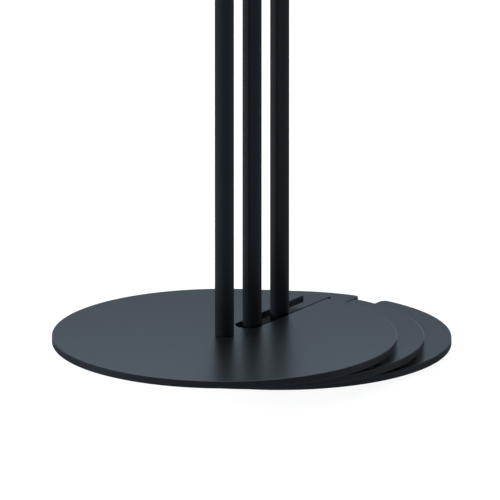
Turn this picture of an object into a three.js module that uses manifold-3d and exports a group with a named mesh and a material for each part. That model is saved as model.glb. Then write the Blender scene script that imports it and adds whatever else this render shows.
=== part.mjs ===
// Three identical coat racks, nested on one another for storage.
//
// Each rack is a round steel base plate on four rubber feet, with a two-section pole at its centre
// and three hook rods at the top. A radial slot, open at the rim, lets the poles of the racks below
// stand inside the plate, so each rack slides off the stack in the -Y direction. All slots open
// towards +Y, and the hook rods lie across the slots, so that they clear their neighbours.
//
// Frame: millimetres, +Z up, origin on the floor under the middle of the stack.
import * as THREE from "three";
import { mergeVertices } from "three/addons/utils/BufferGeometryUtils.js";
import Module from "manifold-3d";

// ---- Driving dimensions ----
const RACK_NAMES = ["bottom", "middle", "top"];
const RACK_PITCH = 59; // from one pole's axis to the next
const RACK_HEIGHT = 1650; // one rack alone, floor to top
const FIT_GAP = 0.3; // left between pieces that touch

const POLE_DIAMETER = 22.2;
const POLE_WALL = 1.2;
const POLE_JOINT_HEIGHT = 830; // where the two pole sections meet

const PLATE_DIAMETER = 400;
const PLATE_THICKNESS = 9;
const PLATE_EDGE_CHAMFER = 0.8;
const SLOT_WIDTH = 31;
const SLOT_END_CENTRE = 51.5; // centre of the slot's round end, from the pole's axis
const SLOT_MOUTH_RADIUS = 7; // rounding where the slot meets the rim

const FOOT_DIAMETER = 24;
const FOOT_HEIGHT = 5.3;
const FOOT_PLACES = {
  front_left: [-105, -90],
  front_right: [105, -90],
  back_left: [-110, 100],
  back_right: [110, 100],
};

const BOLT_DIAMETER = 8;
const BOLT_HEAD_DIAMETER = 18;
const BOLT_HEAD_HEIGHT = 4.4;
const BOLT_SOCKET = 5; // across the flats of the hexagon
const BOLT_SOCKET_DEPTH = 2.6;
const BOLT_GRIP = 18; // length of thread inside the pole's plug
const PLUG_HEIGHT = 28;

const JOINER_LENGTH = 70;
const JOINER_COLLAR = 1.2; // height of the ring seen between the two sections
const CAP_HEIGHT = 9;
const CAP_STEM = 16;

const HOOK_HEIGHTS = { upper: 1572, centre: 1436, lower: 1300 };
const HOOK_ROD_DIAMETER = 8;
const HOOK_LEVEL = 38; // straight stretch on each side of the pole's axis
const HOOK_BEND_RADIUS = 46;
const HOOK_BEND_ANGLE = THREE.MathUtils.degToRad(72);
const HOOK_END_STRAIGHT = 14;
const TIP_DIAMETER = 18;

// ---- Facets ----
const PLATE_QUARTER_STEPS = 18; // along a quarter of the plate's rim
const POLE_SIDES = 24;
const FITTING_SIDES = 16; // foot, bolt, plug, joiner and cap
const ROD_SIDES = 8;
const ROD_STEPS = 18;
const TIP_SIDES = 10;

// ---- Derived dimensions, for a rack that stands on the floor ----
const POLE_RADIUS = POLE_DIAMETER / 2;
const POLE_BORE_RADIUS = POLE_RADIUS - POLE_WALL;
const INNER_RADIUS = POLE_BORE_RADIUS - FIT_GAP; // outside of what fits into a pole section
const PLATE_RADIUS = PLATE_DIAMETER / 2;
const PLATE_UNDERSIDE = FOOT_HEIGHT + FIT_GAP;
const PLATE_TOP = PLATE_UNDERSIDE + PLATE_THICKNESS;
const STACK_STEP = PLATE_TOP + FIT_GAP; // height that each rack adds to the stack
const POLE_FOOT = PLATE_TOP + FIT_GAP;
const POLE_TOP = RACK_HEIGHT - CAP_HEIGHT;
const COLLAR_HALF = JOINER_COLLAR / 2;
const ROD_RADIUS = HOOK_ROD_DIAMETER / 2;
const HOOK_BEND_LENGTH = HOOK_BEND_RADIUS * HOOK_BEND_ANGLE;
const HOOK_HALF_LENGTH = HOOK_LEVEL + HOOK_BEND_LENGTH + HOOK_END_STRAIGHT;

// ---- Materials ----
const COLOURS = {
  powder_coat: { color: 0x23262a, roughness: 0.42, metalness: 0.3 },
  rubber: { color: 0x17181a, roughness: 0.85, metalness: 0 },
  zinc_steel: { color: 0x9a9ca0, roughness: 0.35, metalness: 0.9 },
  black_plastic: { color: 0x1c1d20, roughness: 0.5, metalness: 0 },
};

const wasm = await Module();
wasm.setup();

// A closed geometry as a manifold-3d solid.
function solidOf(geometry) {
  const bare = geometry.clone();
  bare.deleteAttribute("normal");
  bare.deleteAttribute("uv");
  const merged = mergeVertices(bare, 1e-4);
  const mesh = new wasm.Mesh({
    numProp: 3,
    vertProperties: new Float32Array(merged.attributes.position.array),
    triVerts: new Uint32Array(merged.index.array),
  });
  return new wasm.Manifold(mesh);
}

// A manifold-3d solid as a geometry.
function geometryOf(solid) {
  const mesh = solid.getMesh();
  const geometry = new THREE.BufferGeometry();
  geometry.setAttribute("position", new THREE.BufferAttribute(mesh.vertProperties, 3));
  geometry.setIndex(new THREE.BufferAttribute(mesh.triVerts, 1));
  const faceted = geometry.toNonIndexed();
  faceted.computeVertexNormals();
  return faceted;
}

// A solid of revolution about +Z. The profile is [radius, height] pairs, anticlockwise.
function turned(profile, sides) {
  const points = profile.map(([radius, height]) => new THREE.Vector2(radius, height));
  return new THREE.LatheGeometry(points, sides).rotateX(Math.PI / 2);
}

// Points along an arc, both ends included.
function arcPoints(centreX, centreY, radius, from, to, steps) {
  const points = [];
  for (let i = 0; i <= steps; i += 1) {
    const angle = from + ((to - from) * i) / steps;
    points.push(
      new THREE.Vector2(centreX + radius * Math.cos(angle), centreY + radius * Math.sin(angle)),
    );
  }
  return points;
}

// The disc with its slot along +Y, bored at the centre for the base bolt.
function basePlate() {
  const half = SLOT_WIDTH / 2;
  const mouthX = half + SLOT_MOUTH_RADIUS;
  const mouthY = Math.sqrt((PLATE_RADIUS - SLOT_MOUTH_RADIUS) ** 2 - mouthX ** 2);
  const mouthAngle = Math.atan2(mouthY, mouthX);
  const quarter = Math.PI / 2;
  const rim = (from, to) => arcPoints(0, 0, PLATE_RADIUS, from, to, PLATE_QUARTER_STEPS).slice(1);
  const mouth = (side, from, to) =>
    arcPoints(side * mouthX, mouthY, SLOT_MOUTH_RADIUS, from, to, 4);
  const outline = [
    ...mouth(-1, 0, 2 * quarter - mouthAngle),
    ...rim(2 * quarter - mouthAngle, 2 * quarter),
    ...rim(2 * quarter, 3 * quarter),
    ...rim(3 * quarter, 4 * quarter),
    ...rim(4 * quarter, 4 * quarter + mouthAngle),
    ...mouth(1, mouthAngle, 2 * quarter).slice(1),
    ...arcPoints(0, SLOT_END_CENTRE, half, 0, -2 * quarter, 12),
  ];
  const shape = new THREE.Shape(outline);
  const boltHole = BOLT_DIAMETER / 2 + 2 * FIT_GAP;
  shape.holes.push(new THREE.Path(arcPoints(0, 0, boltHole, 4 * quarter, 0, 16).slice(1)));
  return new THREE.ExtrudeGeometry(shape, {
    depth: PLATE_THICKNESS - 2 * PLATE_EDGE_CHAMFER,
    bevelThickness: PLATE_EDGE_CHAMFER,
    bevelSize: PLATE_EDGE_CHAMFER,
    bevelOffset: -PLATE_EDGE_CHAMFER,
    bevelSegments: 1,
  }).translate(0, 0, PLATE_UNDERSIDE + PLATE_EDGE_CHAMFER);
}

// A low rubber pad, drawn with its base on z = 0.
function foot() {
  const radius = FOOT_DIAMETER / 2;
  const profile = [
    [0, 0],
    [radius - 1, 0],
    [radius, 1],
    [radius - 1, FOOT_HEIGHT],
    [0, FOOT_HEIGHT],
  ];
  return turned(profile, FITTING_SIDES);
}

// The screw that holds the pole on the plate, with a hexagon socket in its low head.
function baseBolt() {
  const seat = PLATE_UNDERSIDE - FIT_GAP;
  const underside = seat - BOLT_HEAD_HEIGHT;
  const headRadius = BOLT_HEAD_DIAMETER / 2;
  const shank = BOLT_DIAMETER / 2;
  const end = POLE_FOOT + BOLT_GRIP;
  const profile = [
    [0, underside],
    [headRadius - 3, underside],
    [headRadius, seat - 1.5],
    [headRadius, seat],
    [shank, seat],
    [shank, end - 1],
    [shank - 1, end],
    [0, end],
  ];
  const socketRadius = BOLT_SOCKET / Math.sqrt(3);
  const socket = new THREE.CylinderGeometry(socketRadius, socketRadius, 2 * BOLT_SOCKET_DEPTH, 6)
    .rotateX(Math.PI / 2)
    .translate(0, 0, underside);
  return geometryOf(solidOf(turned(profile, FITTING_SIDES)).subtract(solidOf(socket)));
}

// The threaded insert welded into the foot of the pole.
function polePlug() {
  const bore = BOLT_DIAMETER / 2 + FIT_GAP;
  const boreEnd = POLE_FOOT + BOLT_GRIP + 2;
  const profile = [
    [bore, POLE_FOOT],
    [INNER_RADIUS, POLE_FOOT],
    [INNER_RADIUS, POLE_FOOT + PLUG_HEIGHT],
    [0, POLE_FOOT + PLUG_HEIGHT],
    [0, boreEnd],
    [bore, boreEnd],
    [bore, POLE_FOOT],
  ];
  return turned(profile, FITTING_SIDES);
}

// A stretch of the pole's tube, open at both ends.
function tube(from, to) {
  const profile = [
    [POLE_BORE_RADIUS, from],
    [POLE_RADIUS, from],
    [POLE_RADIUS, to],
    [POLE_BORE_RADIUS, to],
    [POLE_BORE_RADIUS, from],
  ];
  return turned(profile, POLE_SIDES);
}

function lowerPole() {
  return tube(POLE_FOOT, POLE_JOINT_HEIGHT - COLLAR_HALF - FIT_GAP);
}

// The upper section, drilled across for the three hook rods.
function upperPole() {
  let pole = solidOf(tube(POLE_JOINT_HEIGHT + COLLAR_HALF + FIT_GAP, POLE_TOP));
  const drill = ROD_RADIUS + FIT_GAP;
  for (const height of Object.values(HOOK_HEIGHTS)) {
    const hole = new THREE.CylinderGeometry(drill, drill, 2 * POLE_DIAMETER, 12)
      .rotateZ(Math.PI / 2)
      .translate(0, 0, height);
    pole = pole.subtract(solidOf(hole));
  }
  return geometryOf(pole);
}

// The coupling inside both sections, with the thin collar that shows between them.
function poleJoiner() {
  const half = JOINER_LENGTH / 2;
  const profile = [
    [0, -half],
    [INNER_RADIUS - 1, -half],
    [INNER_RADIUS, -half + 1],
    [INNER_RADIUS, -COLLAR_HALF],
    [POLE_RADIUS, -COLLAR_HALF],
    [POLE_RADIUS, COLLAR_HALF],
    [INNER_RADIUS, COLLAR_HALF],
    [INNER_RADIUS, half - 1],
    [INNER_RADIUS - 1, half],
    [0, half],
  ];
  return turned(profile, FITTING_SIDES).translate(0, 0, POLE_JOINT_HEIGHT);
}

// The domed cap, with a stem that presses into the pole.
function topCap() {
  const brim = POLE_TOP + FIT_GAP;
  const dome = arcPoints(0, 0, 1, 0, Math.PI / 2, 5).map(({ x, y }) => [
    POLE_RADIUS * x,
    brim + 2 + (RACK_HEIGHT - brim - 2) * y,
  ]);
  dome[dome.length - 1][0] = 0;
  const profile = [
    [0, brim - CAP_STEM],
    [INNER_RADIUS - 1, brim - CAP_STEM],
    [INNER_RADIUS, brim - CAP_STEM + 2],
    [INNER_RADIUS, brim],
    [POLE_RADIUS, brim],
    ...dome,
  ];
  return turned(profile, FITTING_SIDES);
}

// The centre line of a hook rod: level through the pole, and bent up on both sides.
class HookLine extends THREE.Curve {
  getPoint(t, target = new THREE.Vector3()) {
    const along = (2 * t - 1) * HOOK_HALF_LENGTH;
    const distance = Math.abs(along);
    const turnedBy = THREE.MathUtils.clamp(
      (distance - HOOK_LEVEL) / HOOK_BEND_RADIUS,
      0,
      HOOK_BEND_ANGLE,
    );
    const level = Math.min(distance, HOOK_LEVEL);
    const straight = Math.max(distance - HOOK_LEVEL - HOOK_BEND_LENGTH, 0);
    const x = level + HOOK_BEND_RADIUS * Math.sin(turnedBy) + straight * Math.cos(turnedBy);
    const z = HOOK_BEND_RADIUS * (1 - Math.cos(turnedBy)) + straight * Math.sin(turnedBy);
    return target.set(Math.sign(along) * x, 0, z);
  }
}

const hookLine = new HookLine();

function hookRod() {
  const section = new THREE.Shape(arcPoints(0, 0, ROD_RADIUS, 0, 2 * Math.PI, ROD_SIDES).slice(1));
  return new THREE.ExtrudeGeometry(section, {
    steps: ROD_STEPS,
    extrudePath: hookLine,
  });
}

// A ball with a blind socket for the rod's end, drawn with its centre on the origin.
function hookTip() {
  const radius = TIP_DIAMETER / 2;
  const socket = ROD_RADIUS + FIT_GAP;
  const lip = Math.asin(socket / radius);
  const ball = arcPoints(0, 0, radius, lip - Math.PI / 2, Math.PI / 2, 6).map(({ x, y }) => [x, y]);
  ball[ball.length - 1][0] = 0;
  return turned([[0, FIT_GAP], [socket, FIT_GAP], ...ball], TIP_SIDES);
}

// ---- Assembly ----
const assembly = new THREE.Group();

function addPiece(rack, name, geometry, material) {
  const mesh = new THREE.Mesh(geometry, new THREE.MeshStandardMaterial(COLOURS[material]));
  mesh.name = name;
  rack.add(mesh);
  return mesh;
}

function buildRack(rackName, level) {
  const rack = new THREE.Group();
  rack.position.set(0, RACK_PITCH * (1 - level), STACK_STEP * level);
  addPiece(rack, `${rackName}_base_plate`, basePlate(), "powder_coat");
  for (const [place, [x, y]] of Object.entries(FOOT_PLACES)) {
    addPiece(rack, `${rackName}_foot_${place}`, foot(), "rubber").position.set(x, y, 0);
  }
  addPiece(rack, `${rackName}_base_bolt`, baseBolt(), "zinc_steel");
  addPiece(rack, `${rackName}_pole_plug`, polePlug(), "zinc_steel");
  addPiece(rack, `${rackName}_lower_pole`, lowerPole(), "powder_coat");
  addPiece(rack, `${rackName}_pole_joiner`, poleJoiner(), "powder_coat");
  addPiece(rack, `${rackName}_upper_pole`, upperPole(), "powder_coat");
  addPiece(rack, `${rackName}_top_cap`, topCap(), "black_plastic");
  for (const [tier, height] of Object.entries(HOOK_HEIGHTS)) {
    addPiece(rack, `${rackName}_hook_rod_${tier}`, hookRod(), "powder_coat").position.z = height;
    for (const [side, end, turn] of [["left", 0, -1], ["right", 1, 1]]) {
      const tip = addPiece(rack, `${rackName}_hook_tip_${tier}_${side}`, hookTip(), "rubber");
      tip.position.copy(hookLine.getPoint(end));
      tip.position.z += height;
      tip.rotation.y = turn * (Math.PI / 2 - HOOK_BEND_ANGLE);
    }
  }
  assembly.add(rack);
}

RACK_NAMES.forEach(buildRack);

export default assembly;
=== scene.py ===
"""The nested stack of coat racks: fine meshes, finishes, stage, light and camera around the CAD frame."""

import math

import bmesh
import bpy
from mathutils import Euler, Matrix, Vector


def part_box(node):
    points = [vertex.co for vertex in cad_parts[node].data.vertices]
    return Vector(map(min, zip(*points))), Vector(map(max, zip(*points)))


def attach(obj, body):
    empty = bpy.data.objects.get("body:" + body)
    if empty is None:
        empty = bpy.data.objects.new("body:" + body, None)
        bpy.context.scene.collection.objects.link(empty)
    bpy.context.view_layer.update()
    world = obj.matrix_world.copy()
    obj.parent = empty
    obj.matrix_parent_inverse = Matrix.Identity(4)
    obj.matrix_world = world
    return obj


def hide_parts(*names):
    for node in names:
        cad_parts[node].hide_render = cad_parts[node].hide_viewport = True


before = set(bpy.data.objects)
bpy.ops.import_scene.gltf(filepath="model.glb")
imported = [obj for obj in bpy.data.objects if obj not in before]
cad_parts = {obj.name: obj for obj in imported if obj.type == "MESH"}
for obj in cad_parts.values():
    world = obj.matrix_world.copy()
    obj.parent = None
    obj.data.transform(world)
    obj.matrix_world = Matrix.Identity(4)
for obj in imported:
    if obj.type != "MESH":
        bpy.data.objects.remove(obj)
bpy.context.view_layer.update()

MM = 0.001
RACKS = ("bottom", "middle", "top")
TIERS = ("upper", "centre", "lower")
FEET = ("front_left", "front_right", "back_left", "back_right")

# Sizes that the boxes of the CAD nodes can't give, in metres.
FIT_GAP = 0.3 * MM  # left between pieces that touch
SLOT_HALF_WIDTH = 15.5 * MM
SLOT_END_CENTRE = 51.5 * MM
SLOT_MOUTH_RADIUS = 7 * MM
PLATE_UPPER_EDGE_RADIUS = 0.9 * MM
PLATE_LOWER_EDGE_RADIUS = 1.5 * MM
POLE_WALL = 1.2 * MM
BOLT_HOLE_RADIUS = 4.6 * MM
BOLT_SHANK_RADIUS = 4 * MM
BOLT_HEAD_HEIGHT = 4.4 * MM
BOLT_SOCKET_DEPTH = 2.6 * MM
BOLT_SOCKET_RADIUS = 2.9 * MM  # over the hexagon's corners
COLLAR_HALF_HEIGHT = 0.6 * MM
ROD_HOLE_RADIUS = 4.3 * MM
HOOK_LEVEL = 38 * MM
HOOK_BEND_RADIUS = 46 * MM
HOOK_BEND_ANGLE = math.radians(72)
HOOK_END_STRAIGHT = 14 * MM
HOOK_BEND_END = HOOK_LEVEL + HOOK_BEND_RADIUS * HOOK_BEND_ANGLE  # along the rod, from the pole's axis
HOOK_HALF_LENGTH = HOOK_BEND_END + HOOK_END_STRAIGHT
HOOK_TIP_RADIUS = 9 * MM
STEM_RADIUS = 9.6 * MM  # of the cap and the joiner, inside the pole
CAP_BRIM = 2 * MM
FOOT_RECESS = 0.6 * MM
WELD_RADIUS = 0.85 * MM
WELD_RIPPLES = 18
WELD_RIPPLE_DEPTH = 0.07  # as a share of the bead's radius

# Mesh detail.
SMOOTH_ANGLE = math.radians(32)
SUPPORT = 0.08  # distance of a supporting point from its arc, as a share of the radius

# Camera and light.
VIEW_AZIMUTH = math.radians(32.84)
CAMERA_DISTANCE = 26.35
CAMERA_ELEVATION = math.radians(15.60)
CAMERA_PITCH = math.radians(15.387)
CAMERA_ASIDE = 0.0296
CAMERA_LENS = 1637.7  # millimetres
CAMERA_FILM = 36  # millimetres
UP = Vector((0, 0, 1))
TO_RIGHT = Vector((math.cos(VIEW_AZIMUTH), math.sin(VIEW_AZIMUTH), 0))
AWAY = Vector((-math.sin(VIEW_AZIMUTH), math.cos(VIEW_AZIMUTH), 0))
SUN_COLOUR = (0.90, 0.96, 1.0)
SOFTBOX_COLOUR = (0.70, 0.88, 1.0)
OVERHEAD_STRENGTH = 2.6
LEFT_FILL_STRENGTH = 22
BACK_LIGHT_POWER = 2.0


# ---- Mesh helpers ----
def new_object(name, mesh):
    """An object with this data, linked to the scene."""
    thing = bpy.data.objects.new(name, mesh)
    bpy.context.scene.collection.objects.link(thing)
    return thing


def mesh_from(name, shape):
    """A bmesh as a mesh that is smooth but for its real edges."""
    bmesh.ops.recalc_face_normals(shape, faces=shape.faces)
    mesh = bpy.data.meshes.new(name)
    shape.to_mesh(mesh)
    shape.free()
    mesh.shade_smooth()
    mesh.set_sharp_from_angle(angle=SMOOTH_ANGLE)
    return mesh


def rounded(corners, steps=5):
    """(x, y) points of an outline of (x, y, radius) corners, with an arc for each corner that has a radius.

    A point just before and after each arc keeps the shading of the long faces beside it flat.
    """
    points = []
    count = len(corners)
    for i, (x, y, radius) in enumerate(corners):
        here = Vector((x, y))
        if radius == 0:
            points.append((x, y))
            continue
        back = (Vector(corners[i - 1][:2]) - here).normalized()
        ahead = (Vector(corners[(i + 1) % count][:2]) - here).normalized()
        half = back.angle(ahead) / 2
        centre = here + (back + ahead).normalized() * (radius / math.sin(half))
        start = here + back * (radius / math.tan(half)) - centre
        end = here + ahead * (radius / math.tan(half)) - centre
        points.append(tuple(centre + start + back * (SUPPORT * radius)))
        turn = start.angle(end)
        for k in range(steps + 1):
            share = k / steps
            spoke = (start * math.sin((1 - share) * turn) + end * math.sin(share * turn)) / math.sin(turn)
            points.append(tuple(centre + spoke))
        points.append(tuple(centre + end + ahead * (SUPPORT * radius)))
    return points


def turned(name, profile, sides=64, loop=False):
    """A solid of revolution about Z from (radius, height) points; a loop of them is a ring with a bore."""
    shape = bmesh.new()
    angles = [2 * math.pi * k / sides for k in range(sides)]
    rings = []
    for radius, height in profile:
        if radius < 1e-7:
            rings.append([shape.verts.new((0, 0, height))])
            continue
        circle = [(radius * math.cos(a), radius * math.sin(a)) for a in angles]
        rings.append([shape.verts.new((x, y, height)) for x, y in circle])
    pairs = list(zip(rings, rings[1:]))
    if loop:
        pairs.append((rings[-1], rings[0]))
    for low, high in pairs:
        for k in range(sides):
            n = (k + 1) % sides
            corners = [low[k % len(low)], low[n % len(low)], high[n % len(high)], high[k % len(high)]]
            shape.faces.new(list(dict.fromkeys(corners)))
    return mesh_from(name, shape)


def cylinder(name, radius, half_length, sides):
    """A closed cylinder along Z about the origin."""
    profile = [(0, -half_length), (radius, -half_length), (radius, half_length), (0, half_length)]
    return turned(name, profile, sides)


def swept(name, stations, sides=28):
    """A closed round bar in the X-Z plane through stations of (x, z, direction angle, radius)."""
    shape = bmesh.new()
    rings = []
    for x, z, angle, radius in stations:
        across = Vector((-math.sin(angle), 0, math.cos(angle)))
        ring = []
        for k in range(sides):
            turn = 2 * math.pi * k / sides
            offset = across * (radius * math.cos(turn)) + Vector((0, radius * math.sin(turn), 0))
            ring.append(shape.verts.new(Vector((x, 0, z)) + offset))
        rings.append(ring)
    for low, high in zip(rings, rings[1:]):
        for k in range(sides):
            n = (k + 1) % sides
            shape.faces.new([low[k], low[n], high[n], high[k]])
    shape.faces.new(rings[0])
    shape.faces.new(rings[-1])
    return mesh_from(name, shape)


def cut(target, *tools):
    """The target's mesh with the tools taken out of it."""
    for tool in tools:
        modifier = target.modifiers.new("cut", "BOOLEAN")
        modifier.operation = "DIFFERENCE"
        modifier.solver = "EXACT"
        modifier.object = tool
    bpy.context.view_layer.update()
    evaluated = target.evaluated_get(bpy.context.evaluated_depsgraph_get())
    mesh = bpy.data.meshes.new_from_object(evaluated)
    target.modifiers.clear()
    target.data = mesh
    for tool in tools:
        bpy.data.objects.remove(tool)
    mesh.shade_smooth()
    mesh.set_sharp_from_angle(angle=SMOOTH_ANGLE)


def placed(name, mesh, location=(0, 0, 0), turn=0.0):
    """An object with its place in its mesh, turned about Y first."""
    mesh = mesh.copy()
    mesh.transform(Matrix.Translation(Vector(location)) @ Matrix.Rotation(turn, 4, "Y"))
    return new_object(name, mesh)


# ---- Materials ----
def node_material(name):
    """A new node material, with its nodes, its links and its shader."""
    material = bpy.data.materials.new(name)
    material.use_nodes = True
    nodes = material.node_tree.nodes
    links = material.node_tree.links
    return material, nodes, links, nodes["Principled BSDF"]


def noise(nodes, links, size, detail=3.0, roughness=0.5):
    """A noise texture whose features are about size metres across, in the object's own frame."""
    coordinates = nodes.new("ShaderNodeTexCoord")
    texture = nodes.new("ShaderNodeTexNoise")
    texture.inputs["Scale"].default_value = 1 / size
    texture.inputs["Detail"].default_value = detail
    texture.inputs["Roughness"].default_value = roughness
    links.new(coordinates.outputs["Object"], texture.inputs["Vector"])
    return texture.outputs["Fac"]


def ramp(nodes, links, source, stops):
    """A colour ramp over source, from (position, colour) stops."""
    node = nodes.new("ShaderNodeValToRGB")
    elements = node.color_ramp.elements
    while len(elements) < len(stops):
        elements.new(0.5)
    for element, (position, colour) in zip(elements, stops):
        element.position = position
        element.color = (*colour, 1)
    links.new(source, node.inputs["Fac"])
    return node.outputs["Color"]


def remap(nodes, links, source, low, high):
    """The middle range of a noise, stretched to run from low to high."""
    node = nodes.new("ShaderNodeMapRange")
    node.inputs["From Min"].default_value = 0.3
    node.inputs["From Max"].default_value = 0.7
    node.inputs["To Min"].default_value = low
    node.inputs["To Max"].default_value = high
    links.new(source, node.inputs["Value"])
    return node.outputs["Result"]


def bump(nodes, links, source, depth, below=None):
    """Adds relief of a depth in metres, over any relief below it."""
    node = nodes.new("ShaderNodeBump")
    node.inputs["Distance"].default_value = depth
    links.new(source, node.inputs["Height"])
    if below:
        links.new(below, node.inputs["Normal"])
    return node.outputs["Normal"]


def powder_coat():
    """Satin black powder coat: a faint orange peel, and a little unevenness in tone and gloss."""
    material, nodes, links, shader = node_material("powder_coat")
    drift = noise(nodes, links, 60 * MM)
    fleck = noise(nodes, links, 0.9 * MM, detail=4)
    dark, light = (0.0016, 0.0019, 0.0023), (0.0024, 0.0028, 0.0034)
    links.new(ramp(nodes, links, drift, [(0.3, dark), (0.7, light)]), shader.inputs["Base Color"])
    links.new(remap(nodes, links, fleck, 0.29, 0.33), shader.inputs["Roughness"])
    peel = bump(nodes, links, noise(nodes, links, 3.5 * MM), 0.006 * MM)
    links.new(bump(nodes, links, fleck, 0.004 * MM, peel), shader.inputs["Normal"])
    shader.inputs["IOR"].default_value = 1.45
    return material


def rubber():
    """Matt black rubber."""
    material, nodes, links, shader = node_material("rubber")
    fleck = noise(nodes, links, 0.5 * MM, detail=5)
    dark, light = (0.010, 0.010, 0.011), (0.017, 0.017, 0.018)
    links.new(ramp(nodes, links, fleck, [(0.3, dark), (0.7, light)]), shader.inputs["Base Color"])
    links.new(remap(nodes, links, fleck, 0.62, 0.78), shader.inputs["Roughness"])
    links.new(bump(nodes, links, fleck, 0.02 * MM), shader.inputs["Normal"])
    return material


def black_plastic():
    """Matt black moulded plastic with a fine grain."""
    material, nodes, links, shader = node_material("black_plastic")
    grain = noise(nodes, links, 0.35 * MM, detail=2)
    dark, light = (0.011, 0.012, 0.013), (0.016, 0.017, 0.019)
    links.new(ramp(nodes, links, grain, [(0.3, dark), (0.7, light)]), shader.inputs["Base Color"])
    links.new(remap(nodes, links, grain, 0.42, 0.55), shader.inputs["Roughness"])
    links.new(bump(nodes, links, grain, 0.012 * MM), shader.inputs["Normal"])
    return material


def zinc_steel():
    """Zinc-plated steel, a little patchy."""
    material, nodes, links, shader = node_material("zinc_steel")
    patch = noise(nodes, links, 2.5 * MM, detail=4)
    dark, light = (0.40, 0.41, 0.43), (0.56, 0.57, 0.60)
    links.new(ramp(nodes, links, patch, [(0.3, dark), (0.7, light)]), shader.inputs["Base Color"])
    links.new(remap(nodes, links, patch, 0.24, 0.40), shader.inputs["Roughness"])
    links.new(bump(nodes, links, noise(nodes, links, 0.4 * MM), 0.01 * MM), shader.inputs["Normal"])
    shader.inputs["Metallic"].default_value = 1.0
    return material


MATERIALS = {make.__name__: make() for make in (powder_coat, rubber, black_plastic, zinc_steel)}


def finish_piece(piece, rack, slot, *nodes):
    """Gives a piece its finish, its body, and the CAD nodes that it stands for."""
    piece.data.materials.clear()
    piece.data.materials.append(MATERIALS[slot])
    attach(piece, f"rack_{rack}")
    if nodes:
        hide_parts(*nodes)


# ---- Shapes of one rack ----
def arc(centre_x, centre_y, radius, start, end, steps):
    """Points along an arc from one angle to another, both ends included."""
    angles = [start + (end - start) * k / steps for k in range(steps + 1)]
    return [(centre_x + radius * math.cos(a), centre_y + radius * math.sin(a)) for a in angles]


def plate_outline(radius, inset):
    """The slotted disc's outline about the pole's axis, drawn in by inset, always with as many points."""
    mouth_x = SLOT_HALF_WIDTH + SLOT_MOUTH_RADIUS
    mouth_y = math.sqrt((radius - SLOT_MOUTH_RADIUS) ** 2 - mouth_x**2)
    mouth = math.atan2(mouth_y, mouth_x)
    small = SLOT_MOUTH_RADIUS - inset
    quarter = math.pi / 2
    rim = [2 * quarter - mouth, 2 * quarter, 3 * quarter, 4 * quarter, 4 * quarter + mouth]
    points = arc(-mouth_x, mouth_y, small, 0, 2 * quarter - mouth, 12)
    for start, end in zip(rim, rim[1:]):
        points += arc(0, 0, radius - inset, start, end, 60)[1:]
    points += arc(mouth_x, mouth_y, small, mouth, 2 * quarter, 12)[1:]
    points += arc(0, SLOT_END_CENTRE, SLOT_HALF_WIDTH + inset, 0, -2 * quarter, 32)
    return points


def base_plate(rack):
    """The slotted disc: its outline at each level of the rounded edges, closed by two bored faces."""
    node = f"{rack}_base_plate"
    low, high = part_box(node)
    radius = (high.x - low.x) / 2
    axis = Vector((0, low.y + radius, 0))
    furthest = high.y - axis.y
    upper, lower = PLATE_UPPER_EDGE_RADIUS, PLATE_LOWER_EDGE_RADIUS
    turns = [k * math.pi / 12 for k in range(7)]
    levels = [(lower * (1 - math.sin(t)), low.z + lower * (1 - math.cos(t))) for t in turns]
    levels += [(upper * (1 - math.cos(t)), high.z - upper * (1 - math.sin(t))) for t in turns]
    levels = [((1 + SUPPORT) * lower, low.z), *levels, ((1 + SUPPORT) * upper, high.z)]
    shape = bmesh.new()
    rings = []
    for inset, z in levels:
        outline = plate_outline(radius, inset)
        rings.append([shape.verts.new((x, min(y, furthest), z)) for x, y in outline])
    bore = arc(0, 0, BOLT_HOLE_RADIUS, 0, 2 * math.pi, 32)[:-1]
    bores = [[shape.verts.new((x, y, z)) for x, y in bore] for z in (low.z, high.z)]
    for first, second in [*zip(rings, rings[1:]), bores]:
        for k, corner in enumerate(first):
            n = (k + 1) % len(first)
            shape.faces.new([corner, first[n], second[n], second[k]])
    shape.edges.ensure_lookup_table()
    for outer, inner in ((rings[0], bores[0]), (rings[-1], bores[1])):
        loops = [
            shape.edges.get((ring[k], ring[(k + 1) % len(ring)]))
            for ring in (outer, inner)
            for k in range(len(ring))
        ]
        bmesh.ops.triangle_fill(shape, use_beauty=True, edges=loops)
    plate = placed(f"{rack}_plate", mesh_from(node, shape), axis)
    finish_piece(plate, rack, "powder_coat", node)


def pole_axis(rack):
    """(x, y) of a rack's pole."""
    low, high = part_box(f"{rack}_lower_pole")
    return (low.x + high.x) / 2, (low.y + high.y) / 2


def tube_mesh(name, low, high):
    """An open tube along Z with softly broken ends."""
    outer = (high.x - low.x) / 2
    inner = outer - POLE_WALL
    soft = 0.35 * MM
    corners = [(inner, low.z, soft), (outer, low.z, soft), (outer, high.z, soft), (inner, high.z, soft)]
    return turned(name, rounded(corners, steps=3), sides=96, loop=True)


def poles(rack):
    """The two pole sections, the upper one drilled for the hook rods."""
    x, y = pole_axis(rack)
    lower_node, upper_node = f"{rack}_lower_pole", f"{rack}_upper_pole"
    lower = placed(f"{rack}_pole_lower", tube_mesh(lower_node, *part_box(lower_node)), (x, y, 0))
    finish_piece(lower, rack, "powder_coat", lower_node)

    upper = placed(f"{rack}_pole_upper", tube_mesh(upper_node, *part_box(upper_node)), (x, y, 0))
    drill = cylinder("drill", ROD_HOLE_RADIUS, 30 * MM, 40)
    cut(upper, *[placed("drill", drill, (x, y, hook_level(rack, tier)), math.pi / 2) for tier in TIERS])
    finish_piece(upper, rack, "powder_coat", upper_node)


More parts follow.
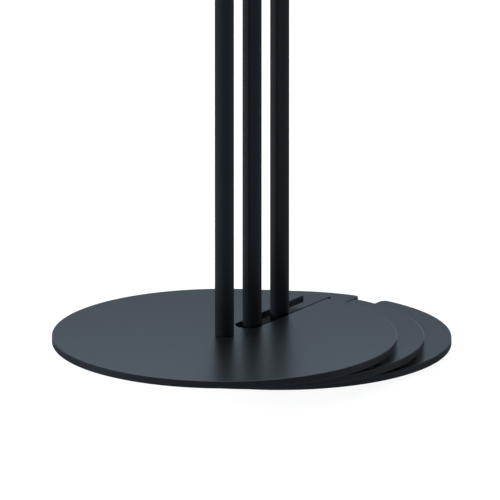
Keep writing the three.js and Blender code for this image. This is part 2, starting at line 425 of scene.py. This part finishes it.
def joiner(rack):
    """The coupling: only its thin collar shows between the two pole sections."""
    node = f"{rack}_pole_joiner"
    low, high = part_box(node)
    x, y = pole_axis(rack)
    radius = (high.x - low.x) / 2
    middle = (low.z + high.z) / 2
    half = COLLAR_HALF_HEIGHT
    corners = [
        (0, low.z, 0),
        (STEM_RADIUS, low.z, 0.8 * MM),
        (STEM_RADIUS, middle - half, 0),
        (radius, middle - half, 0.2 * MM),
        (radius, middle + half, 0.2 * MM),
        (STEM_RADIUS, middle + half, 0),
        (STEM_RADIUS, high.z, 0.8 * MM),
        (0, high.z, 0),
    ]
    piece = placed(f"{rack}_joiner", turned(node, rounded(corners), 64), (x, y, 0))
    finish_piece(piece, rack, "powder_coat", node)


def cap(rack):
    """The domed plastic cap, with its stem inside the pole."""
    node = f"{rack}_top_cap"
    low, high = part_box(node)
    x, y = pole_axis(rack)
    radius = (high.x - low.x) / 2
    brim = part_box(f"{rack}_upper_pole")[1].z + FIT_GAP
    dome = arc(0, 0, 1, 0, math.pi / 2, 20)[1:-1]
    profile = rounded(
        [
            (0, low.z, 0),
            (STEM_RADIUS, low.z, 1 * MM),
            (STEM_RADIUS, brim, 0),
            (radius, brim, 0.25 * MM),
            (radius, brim + CAP_BRIM, 0),
        ]
    )
    rise = high.z - brim - CAP_BRIM
    profile += [(radius * across, brim + CAP_BRIM + rise * up) for across, up in dome]
    profile.append((0, high.z))
    piece = placed(f"{rack}_cap", turned(node, profile, 64), (x, y, 0))
    finish_piece(piece, rack, "black_plastic", node)


def feet(rack):
    """The four rubber pads, slightly hollow underneath."""
    for place in FEET:
        node = f"{rack}_foot_{place}"
        low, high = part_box(node)
        radius = (high.x - low.x) / 2
        height = high.z - low.z
        corners = [
            (0, FOOT_RECESS, 0),
            (0.45 * radius, FOOT_RECESS, 0.3 * MM),
            (0.55 * radius, 0, 0.3 * MM),
            (radius - 0.2 * MM, 0, 0.8 * MM),
            (radius, 1.4 * MM, 1 * MM),
            (radius - 1 * MM, height, 0.5 * MM),
            (0, height, 0),
        ]
        x, y, _ = (low + high) / 2
        piece = placed(f"{rack}_pad_{place}", turned(node, rounded(corners), 48), (x, y, low.z))
        finish_piece(piece, rack, "rubber", node)


def bolt(rack):
    """The low-headed screw under the plate, with its hexagon socket."""
    node = f"{rack}_base_bolt"
    low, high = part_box(node)
    x, y = pole_axis(rack)
    head = (high.x - low.x) / 2
    seat = low.z + BOLT_HEAD_HEIGHT
    shank = BOLT_SHANK_RADIUS
    corners = [
        (0, low.z, 0),
        (head - 3 * MM, low.z, 0.8 * MM),
        (head, seat - 1.5 * MM, 0.8 * MM),
        (head, seat, 0.3 * MM),
        (shank, seat, 0.3 * MM),
        (shank, high.z, 0.8 * MM),
        (0, high.z, 0),
    ]
    piece = placed(f"{rack}_screw", turned(node, rounded(corners), 48), (x, y, 0))
    key = cylinder("key", BOLT_SOCKET_RADIUS, BOLT_SOCKET_DEPTH, 6)
    cut(piece, placed("key", key, (x, y, low.z)))
    finish_piece(piece, rack, "zinc_steel", node)


def plug(rack):
    """The threaded insert inside the pole's foot keeps its CAD shape."""
    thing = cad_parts[f"{rack}_pole_plug"]
    thing.data.materials.clear()
    thing.data.materials.append(MATERIALS["zinc_steel"])


# ---- Hooks ----
def hook_level(rack, tier):
    """Height of a hook rod's straight middle."""
    low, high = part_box(f"{rack}_hook_rod_{tier}")
    return low.z + (high.y - low.y) / 2


def rod_radius(rack, tier):
    """Radius of a hook rod."""
    low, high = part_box(f"{rack}_hook_rod_{tier}")
    return (high.y - low.y) / 2


def hook_point(distance):
    """(x, z, direction) of the rod's centre line at a distance from the pole's axis, on the right."""
    turn = min(max((distance - HOOK_LEVEL) / HOOK_BEND_RADIUS, 0), HOOK_BEND_ANGLE)
    straight = max(distance - HOOK_BEND_END, 0)
    x = min(distance, HOOK_LEVEL) + HOOK_BEND_RADIUS * math.sin(turn) + straight * math.cos(turn)
    z = HOOK_BEND_RADIUS * (1 - math.cos(turn)) + straight * math.sin(turn)
    return x, z, turn


def hook_stations(radius):
    """Stations along the whole rod, with a small chamfer at both ends."""
    chamfer = 0.5 * MM
    bend_steps = 28
    distances = [0, HOOK_LEVEL / 2]
    distances += [HOOK_LEVEL + (HOOK_BEND_END - HOOK_LEVEL) * k / bend_steps for k in range(bend_steps + 1)]
    distances += [HOOK_HALF_LENGTH - chamfer, HOOK_HALF_LENGTH]
    right = []
    for distance in distances:
        x, z, turn = hook_point(distance)
        right.append((x, z, turn, radius - chamfer if distance == HOOK_HALF_LENGTH else radius))
    left = [(-x, z, -turn, r) for x, z, turn, r in reversed(right[1:])]
    return left + right


def weld_bead(name, pole_radius, ring_radius, side):
    """The fillet weld where a rod leaves the pole: a rippled bead along their meeting line."""
    shape = bmesh.new()
    steps, sides = 72, 10
    rings = []
    for i in range(steps):
        turn = 2 * math.pi * i / steps
        y, z = ring_radius * math.cos(turn), ring_radius * math.sin(turn)
        centre = Vector((side * math.sqrt(pole_radius**2 - y**2), y, z))
        outward = Vector((0, math.cos(turn), math.sin(turn)))
        thick = WELD_RADIUS * (1 + WELD_RIPPLE_DEPTH * math.sin(WELD_RIPPLES * turn))
        ring = []
        for k in range(sides):
            around = 2 * math.pi * k / sides
            offset = outward * math.cos(around) + Vector((1, 0, 0)) * math.sin(around)
            ring.append(shape.verts.new(centre + offset * thick))
        rings.append(ring)
    for i, ring in enumerate(rings):
        ahead = rings[(i + 1) % steps]
        for k in range(sides):
            n = (k + 1) % sides
            shape.faces.new([ring[k], ring[n], ahead[n], ahead[k]])
    return mesh_from(name, shape)


def tip_mesh(radius, bore):
    """A rubber ball with a blind socket and a soft lip, its centre at the rod's end."""
    lip = 0.5 * MM
    opening = math.asin((bore + lip) / radius)
    ball = arc(0, 0, radius, opening - math.pi / 2, math.pi / 2, 30)
    mouth = ball[0][1] + lip
    profile = [(0, FIT_GAP), (bore, FIT_GAP), (bore, mouth)]
    profile += [(bore + lip * (1 - math.cos(t)), mouth - lip * math.sin(t)) for t in (0.5, 1.0)]
    profile += ball[:-1] + [(0, radius)]
    return turned("hook_tip", profile, 48)


def hooks(rack):
    """The three hook rods, each with its two rubber tips and its two welds."""
    x, y = pole_axis(rack)
    low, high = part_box(f"{rack}_upper_pole")
    pole_radius = (high.x - low.x) / 2
    for tier in TIERS:
        node = f"{rack}_hook_rod_{tier}"
        radius = rod_radius(rack, tier)
        level = hook_level(rack, tier)
        rod = placed(f"{rack}_rod_{tier}", swept(node, hook_stations(radius)), (x, y, level))
        finish_piece(rod, rack, "powder_coat", node)
        end_x, end_z, end_turn = hook_point(HOOK_HALF_LENGTH)
        for side_name, side in (("left", -1), ("right", 1)):
            tip_node = f"{rack}_hook_tip_{tier}_{side_name}"
            place = (x + side * end_x, y, level + end_z)
            mesh = tip_mesh(HOOK_TIP_RADIUS, ROD_HOLE_RADIUS)
            tip = placed(f"{rack}_tip_{tier}_{side_name}", mesh, place, side * (math.pi / 2 - end_turn))
            finish_piece(tip, rack, "rubber", tip_node)
            bead = weld_bead("weld", pole_radius, radius + FIT_GAP, side)
            weld = placed(f"{rack}_weld_{tier}_{side_name}", bead, (x, y, level))
            finish_piece(weld, rack, "powder_coat")


for rack in RACKS:
    base_plate(rack)
    poles(rack)
    joiner(rack)
    cap(rack)
    feet(rack)
    bolt(rack)
    plug(rack)
    hooks(rack)


# ---- Stage, light and camera ----
def floor():
    """A plain pale floor that glows a little, so that only a faint shadow lies on it."""
    shape = bmesh.new()
    bmesh.ops.create_circle(shape, cap_ends=True, radius=150, segments=96)
    piece = new_object("floor", mesh_from("floor", shape))
    material, nodes, links, shader = node_material("floor")
    dark, light = (0.86, 0.86, 0.86), (0.88, 0.88, 0.88)
    tone = ramp(nodes, links, noise(nodes, links, 0.5), [(0.3, dark), (0.7, light)])
    dimmed = nodes.new("ShaderNodeHueSaturation")
    dimmed.inputs["Value"].default_value = 0.12
    links.new(tone, dimmed.inputs["Color"])
    links.new(dimmed.outputs["Color"], shader.inputs["Base Color"])
    links.new(tone, shader.inputs["Emission Color"])
    shader.inputs["Emission Strength"].default_value = 1.08
    shader.inputs["Roughness"].default_value = 0.9
    shader.inputs["Specular IOR Level"].default_value = 0.0
    piece.data.materials.append(material)
    piece.visible_glossy = False


def aimed(thing, direction):
    """Turns a light so that it shines from a direction."""
    thing.rotation_mode = "QUATERNION"
    thing.rotation_quaternion = Vector(direction).normalized().to_track_quat("Z", "Y")


def sun(name, strength, angle, direction):
    """A very broad, soft light from a direction, its angle in degrees."""
    lamp = bpy.data.lights.new(name, "SUN")
    lamp.energy = strength
    lamp.color = SUN_COLOUR
    lamp.angle = math.radians(angle)
    thing = new_object(name, lamp)
    aimed(thing, direction)
    return thing


def softbox(name, power, width, height, place):
    """A rectangular light at a place, turned towards the stack's foot."""
    lamp = bpy.data.lights.new(name, "AREA")
    lamp.shape = "RECTANGLE"
    lamp.energy = power
    lamp.color = SOFTBOX_COLOUR
    lamp.size = width
    lamp.size_y = height
    thing = new_object(name, lamp)
    thing.location = place
    thing.visible_camera = False
    aimed(thing, place)


def surroundings():
    """The studio as the world: lighter at the left, with a bright strip over the horizon behind the stack.

    The camera itself sees plain white in its place.
    """
    world = bpy.data.worlds.new("studio")
    bpy.context.scene.world = world
    world.use_nodes = True
    nodes = world.node_tree.nodes
    links = world.node_tree.links
    coordinates = nodes.new("ShaderNodeTexCoord")
    direction = coordinates.outputs["Generated"]

    def towards(axis, low, high):
        """How far the direction looks along an axis, as 0 to 1 between two cosines."""
        product = nodes.new("ShaderNodeVectorMath")
        product.operation = "DOT_PRODUCT"
        product.inputs[1].default_value = axis
        links.new(direction, product.inputs[0])
        share = nodes.new("ShaderNodeMapRange")
        share.interpolation_type = "SMOOTHSTEP"
        share.inputs["From Min"].default_value = low
        share.inputs["From Max"].default_value = high
        links.new(product.outputs["Value"], share.inputs["Value"])
        return share.outputs["Result"]

    def blend(share, *tones):
        """From one tone to another as share goes from 0 to 1. A tone is a colour or an output."""
        mix = nodes.new("ShaderNodeMix")
        mix.data_type = "RGBA"
        links.new(share, mix.inputs["Factor"])
        for tone, socket in zip(tones, (mix.inputs[6], mix.inputs[7])):
            if isinstance(tone, tuple):
                socket.default_value = (*tone, 1)
            else:
                links.new(tone, socket)
        return mix.outputs[2]

    below = blend(towards(-TO_RIGHT, 0.15, 0.9), (0.24, 0.29, 0.36), (0.32, 0.38, 0.46))
    below = blend(towards(AWAY, 0.1, 0.6), below, (0.10, 0.12, 0.15))
    above = blend(towards(UP, 0, 1), (0.12, 0.18, 0.23), (0.265, 0.33, 0.38))
    horizon = blend(towards(AWAY, -0.3, 0.3), (0.4, 0.45, 0.5), (2.2, 2.4, 2.6))
    above = blend(towards(UP, 0.03, 0.13), horizon, above)
    walls = blend(towards(UP, -0.03, 0.0), below, above)
    seen = nodes.new("ShaderNodeLightPath").outputs["Is Camera Ray"]
    links.new(blend(seen, walls, (1.0, 1.0, 1.0)), nodes["Background"].inputs["Color"])
    nodes["Background"].inputs["Strength"].default_value = 1.0


def camera():
    """Low and far off, with a long lens on the foot of the stack."""
    plate_low, plate_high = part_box("top_base_plate")
    radius = (plate_high.x - plate_low.x) / 2
    foot = Vector((0, plate_low.y + radius, plate_high.z))
    lens = bpy.data.cameras.new("camera")
    lens.sensor_width = CAMERA_FILM
    lens.lens = CAMERA_LENS
    lens.clip_start = 0.1
    lens.clip_end = 400
    thing = new_object("camera", lens)
    level = CAMERA_DISTANCE * math.cos(CAMERA_ELEVATION)
    rise = CAMERA_DISTANCE * math.sin(CAMERA_ELEVATION)
    thing.location = foot + TO_RIGHT * CAMERA_ASIDE - AWAY * level + UP * rise
    thing.rotation_euler = Euler((math.pi / 2 - CAMERA_PITCH, 0, VIEW_AZIMUTH))
    bpy.context.scene.camera = thing


floor()
surroundings()
sun("overhead", OVERHEAD_STRENGTH, 70, UP)
left_fill = sun("left_fill", LEFT_FILL_STRENGTH, 30, UP * 0.1 - TO_RIGHT)
left_fill.visible_glossy = False
softbox("back_light", BACK_LIGHT_POWER, 1.2, 0.6, AWAY * 1.3 + UP * 0.9)
camera()
bpy.context.scene.view_settings.view_transform = "Standard"
